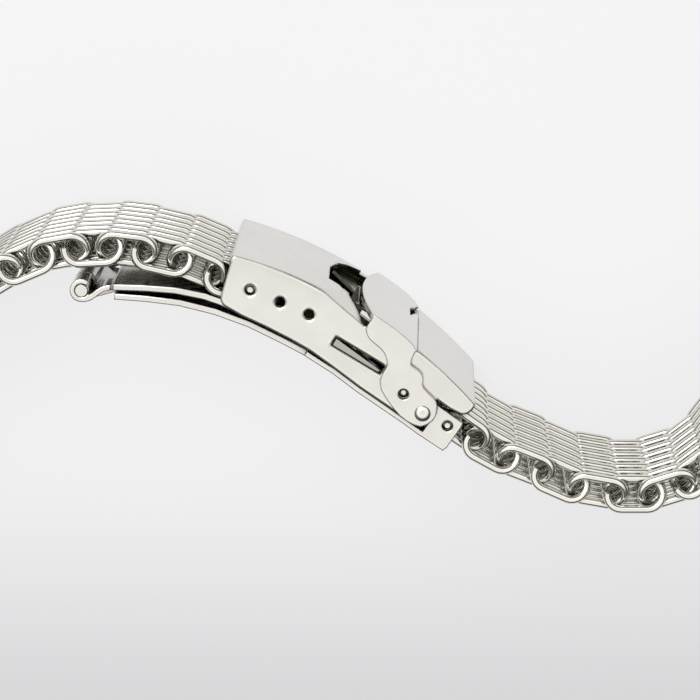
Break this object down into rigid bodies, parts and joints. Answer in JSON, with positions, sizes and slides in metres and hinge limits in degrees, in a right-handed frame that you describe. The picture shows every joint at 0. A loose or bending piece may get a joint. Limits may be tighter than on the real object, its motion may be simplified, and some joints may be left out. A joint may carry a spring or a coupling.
{
  "type": "mesh watch strap",
  "caption": "Two-ended mesh strap of hooked flat wire coils with a fold-over clasp, safety flap, push buttons and folding blades.",
  "frame": {"origin": "middle of the outline seen along the strap's width, at the lowest point of the far edge, on which the strap stands in the picture", "axes": "+Z across the strap, from the far edge to the near edge; +X from the adjusting end of the mesh to the buckled end; +Y outward from the wrist side"},
  "size_m": [0.1254, 0.0359, 0.0244],
  "materials": {
    "mesh_wire": "polished round steel wire",
    "polished_steel": "polished steel",
    "satin_steel": "fine satin steel"
  },
  "bodies": {
    "cover": {"clasp_cover": "satin_steel", "flap_rivets": "polished_steel", "left_bar_tube": "polished_steel", "left_bar_tips": "polished_steel", "left_bar_spring": "polished_steel", "cover_hinge_pin": "polished_steel", "spring_guide": "satin_steel", "button_spring_near": "polished_steel", "button_spring_far": "polished_steel"},
    "flap": {"safety_flap": "polished_steel", "flap_hook": "polished_steel"},
    "button_near": {"button_near": "satin_steel"},
    "button_far": {"button_far": "satin_steel"},
    "upper_blade": {"upper_blade": "satin_steel", "blade_hinge_pin": "polished_steel"},
    "lower_blade": {"lower_blade": "satin_steel", "right_bar_tube": "polished_steel", "right_bar_tips": "polished_steel", "right_bar_spring": "polished_steel"},
    "left_01": {"left_coil_01": "mesh_wire"},
    "left_02": {"left_coil_02": "mesh_wire"},
    "left_03": {"left_coil_03": "mesh_wire"},
    "left_04": {"left_coil_04": "mesh_wire"},
    "left_05": {"left_coil_05": "mesh_wire"},
    "left_06": {"left_coil_06": "mesh_wire"},
    "left_07": {"left_coil_07": "mesh_wire"},
    "left_08": {"left_coil_08": "mesh_wire"},
    "left_09": {"left_coil_09": "mesh_wire"},
    "left_10": {"left_coil_10": "mesh_wire"},
    "left_11": {"left_coil_11": "mesh_wire"},
    "left_12": {"left_coil_12": "mesh_wire"},
    "left_13": {"left_coil_13": "mesh_wire", "left_end_tube": "polished_steel"},
    "right_01": {"right_coil_01": "mesh_wire"},
    "right_02": {"right_coil_02": "mesh_wire"},
    "right_03": {"right_coil_03": "mesh_wire"},
    "right_04": {"right_coil_04": "mesh_wire"},
    "right_05": {"right_coil_05": "mesh_wire"},
    "right_06": {"right_coil_06": "mesh_wire"},
    "right_07": {"right_coil_07": "mesh_wire"},
    "right_08": {"right_coil_08": "mesh_wire"},
    "right_09": {"right_coil_09": "mesh_wire"},
    "right_10": {"right_coil_10": "mesh_wire"},
    "right_11": {"right_coil_11": "mesh_wire"},
    "right_12": {"right_coil_12": "mesh_wire"},
    "right_13": {"right_coil_13": "mesh_wire", "right_end_tube": "polished_steel"}
  },
  "joints": [
    {"name": "flap_hinge", "type": "hinge", "parent": "cover", "child": "flap", "pos_m": [0.01347, -0.00452, 0.012], "axis": [0, 0, 1], "range_deg": [-95, 0]},
    {"name": "blade_unfold", "type": "hinge", "parent": "cover", "child": "upper_blade", "pos_m": [0.01114, -0.00209, 0.012], "axis": [0, 0, 1], "range_deg": [0, 165]},
    {"name": "button_near_press", "type": "slide", "parent": "cover", "child": "button_near", "axis": [0, 0, -1], "range_m": [0, 0.0008], "stiffness_N_per_m": 200, "deforming": ["button_spring_near"]},
    {"name": "button_far_press", "type": "slide", "parent": "cover", "child": "button_far", "axis": [0, 0, 1], "range_m": [0, 0.0008], "stiffness_N_per_m": 200, "deforming": ["button_spring_far"]},
    {"name": "blade_fold", "type": "hinge", "parent": "upper_blade", "child": "lower_blade", "pos_m": [-0.02824, 0.01035, 0.012], "axis": [0, 0, 1], "range_deg": [-165, 0]},
    {"name": "left_01_bend", "type": "hinge", "parent": "cover", "child": "left_01", "pos_m": [-0.00747, 0.01076, 0.012], "axis": [0, 0, 1], "range_deg": [-8, 1]},
    {"name": "left_02_bend", "type": "hinge", "parent": "left_01", "child": "left_02", "pos_m": [-0.01183, 0.01226, 0.012], "axis": [0, 0, 1], "range_deg": [-8, 3]},
    {"name": "left_03_bend", "type": "hinge", "parent": "left_02", "child": "left_03", "pos_m": [-0.01609, 0.01411, 0.012], "axis": [0, 0, 1], "range_deg": [-8, 5]},
    {"name": "left_04_bend", "type": "hinge", "parent": "left_03", "child": "left_04", "pos_m": [-0.02046, 0.01515, 0.012], "axis": [0, 0, 1], "range_deg": [-8, 8]},
    {"name": "left_05_bend", "type": "hinge", "parent": "left_04", "child": "left_05", "pos_m": [-0.02471, 0.01566, 0.012], "axis": [0, 0, 1], "range_deg": [-8, 8]},
    {"name": "left_06_bend", "type": "hinge", "parent": "left_05", "child": "left_06", "pos_m": [-0.02887, 0.01548, 0.012], "axis": [0, 0, 1], "range_deg": [-8, 8]},
    {"name": "left_07_bend", "type": "hinge", "parent": "left_06", "child": "left_07", "pos_m": [-0.03291, 0.01476, 0.012], "axis": [0, 0, 1], "range_deg": [-8, 8]},
    {"name": "left_08_bend", "type": "hinge", "parent": "left_07", "child": "left_08", "pos_m": [-0.03705, 0.013, 0.012], "axis": [0, 0, 1], "range_deg": [-8, 8]},
    {"name": "left_09_bend", "type": "hinge", "parent": "left_08", "child": "left_09", "pos_m": [-0.04091, 0.01069, 0.012], "axis": [0, 0, 1], "range_deg": [-8, 8]},
    {"name": "left_10_bend", "type": "hinge", "parent": "left_09", "child": "left_10", "pos_m": [-0.04459, 0.00811, 0.012], "axis": [0, 0, 1], "range_deg": [-8, 8]},
    {"name": "left_11_bend", "type": "hinge", "parent": "left_10", "child": "left_11", "pos_m": [-0.04832, 0.00559, 0.012], "axis": [0, 0, 1], "range_deg": [-8, 8]},
    {"name": "left_12_bend", "type": "hinge", "parent": "left_11", "child": "left_12", "pos_m": [-0.0523, 0.00348, 0.012], "axis": [0, 0, 1], "range_deg": [-8, 8]},
    {"name": "left_13_bend", "type": "hinge", "parent": "left_12", "child": "left_13", "pos_m": [-0.05653, 0.00194, 0.012], "axis": [0, 0, 1], "range_deg": [-8, 8]},
    {"name": "right_01_bend", "type": "hinge", "parent": "lower_blade", "child": "right_01", "pos_m": [0.01651, -0.00633, 0.012], "axis": [0, 0, 1], "range_deg": [-5, 8]},
    {"name": "right_02_bend", "type": "hinge", "parent": "right_01", "child": "right_02", "pos_m": [0.01987, -0.0087, 0.012], "axis": [0, 0, 1], "range_deg": [-8, 8]},
    {"name": "right_03_bend", "type": "hinge", "parent": "right_02", "child": "right_03", "pos_m": [0.02404, -0.01106, 0.012], "axis": [0, 0, 1], "range_deg": [-8, 8]},
    {"name": "right_04_bend", "type": "hinge", "parent": "right_03", "child": "right_04", "pos_m": [0.02826, -0.01277, 0.012], "axis": [0, 0, 1], "range_deg": [-8, 8]},
    {"name": "right_05_bend", "type": "hinge", "parent": "right_04", "child": "right_05", "pos_m": [0.03263, -0.01476, 0.012], "axis": [0, 0, 1], "range_deg": [-8, 7]},
    {"name": "right_06_bend", "type": "hinge", "parent": "right_05", "child": "right_06", "pos_m": [0.03755, -0.01565, 0.012], "axis": [0, 0, 1], "range_deg": [-8, 8]},
    {"name": "right_07_bend", "type": "hinge", "parent": "right_06", "child": "right_07", "pos_m": [0.04175, -0.01565, 0.012], "axis": [0, 0, 1], "range_deg": [-8, 8]},
    {"name": "right_08_bend", "type": "hinge", "parent": "right_07", "child": "right_08", "pos_m": [0.04589, -0.0143, 0.012], "axis": [0, 0, 1], "range_deg": [-8, 8]},
    {"name": "right_09_bend", "type": "hinge", "parent": "right_08", "child": "right_09", "pos_m": [0.04936, -0.01159, 0.012], "axis": [0, 0, 1], "range_deg": [-8, 8]},
    {"name": "right_10_bend", "type": "hinge", "parent": "right_09", "child": "right_10", "pos_m": [0.05194, -0.00803, 0.012], "axis": [0, 0, 1], "range_deg": [-8, 8]},
    {"name": "right_11_bend", "type": "hinge", "parent": "right_10", "child": "right_11", "pos_m": [0.05401, -0.00415, 0.012], "axis": [0, 0, 1], "range_deg": [-8, 8]},
    {"name": "right_12_bend", "type": "hinge", "parent": "right_11", "child": "right_12", "pos_m": [0.05594, -0.00019, 0.012], "axis": [0, 0, 1], "range_deg": [-8, 8]},
    {"name": "right_13_bend", "type": "hinge", "parent": "right_12", "child": "right_13", "pos_m": [0.05814, 0.00362, 0.012], "axis": [0, 0, 1], "range_deg": [-8, 8]}
  ],
  "couplings": [
    {"joint": "blade_fold", "follows": "blade_unfold", "ratio": -1}
  ]
}
